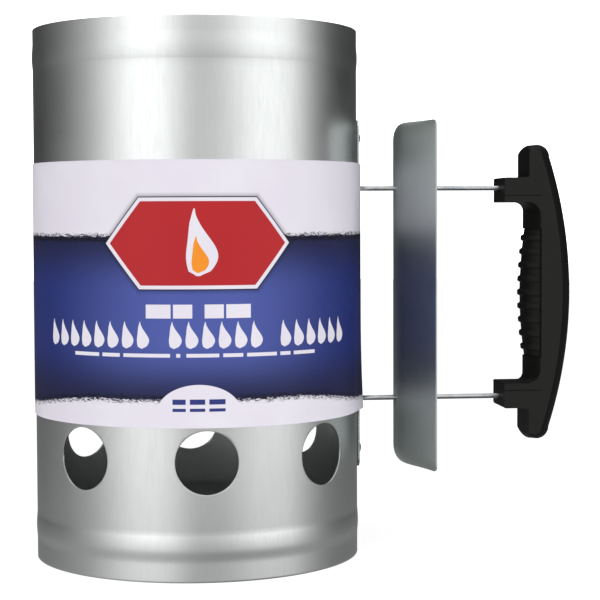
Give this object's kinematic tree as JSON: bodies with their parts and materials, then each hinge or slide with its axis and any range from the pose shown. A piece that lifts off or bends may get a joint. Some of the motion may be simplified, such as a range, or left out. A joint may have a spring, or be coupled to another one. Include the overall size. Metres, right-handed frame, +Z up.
{
  "type": "chimney charcoal starter",
  "caption": "Steel tube charcoal starter with round air vents, an inner wire grate, a printed paper sleeve, a heat shield and a black ribbed side handle on a wire frame.",
  "frame": {"origin": "centre of the whole object's box at its base: the tube's base rim lies on Z = 0, and the tube's axis stands at X = -0.05932, Y = 0", "axes": "+Z up along the tube, from the base rim to the open top; +X from the tube through the heat shield to the handle"},
  "size_m": [0.2928, 0.1742, 0.2794],
  "materials": {
    "galvanised_steel": "bright galvanised sheet, satin, with a fine rolled grain",
    "zinc_plated_steel": "bright zinc plating on wire, strap and rivets",
    "grate_steel": "plain drawn wire, dull",
    "printed_paper": "semi-gloss printed sleeve, blue band between pale lavender bands",
    "black_plastic": "fine-textured moulded black"
  },
  "bodies": {
    "root": {"chimney_body": "galvanised_steel", "label_sleeve": "printed_paper", "mounting_strap": "zinc_plated_steel", "strap_rivet_upper": "zinc_plated_steel", "strap_rivet_lower": "zinc_plated_steel", "handle_wire": "zinc_plated_steel", "heat_shield": "galvanised_steel", "handle_half_near": "black_plastic", "handle_half_far": "black_plastic", "handle_screw_upper": "zinc_plated_steel", "handle_screw_middle": "zinc_plated_steel", "handle_screw_lower": "zinc_plated_steel", "grate_ring": "grate_steel", "grate_bar_1": "grate_steel", "grate_bar_2": "grate_steel", "grate_bar_3": "grate_steel", "grate_bar_4": "grate_steel", "grate_bar_5": "grate_steel", "grate_bar_6": "grate_steel", "grate_bar_7": "grate_steel", "grate_bar_8": "grate_steel", "grate_bar_9": "grate_steel", "grate_clip_1": "galvanised_steel", "grate_clip_2": "galvanised_steel", "grate_clip_3": "galvanised_steel", "grate_clip_4": "galvanised_steel"}
  },
  "joints": []
}
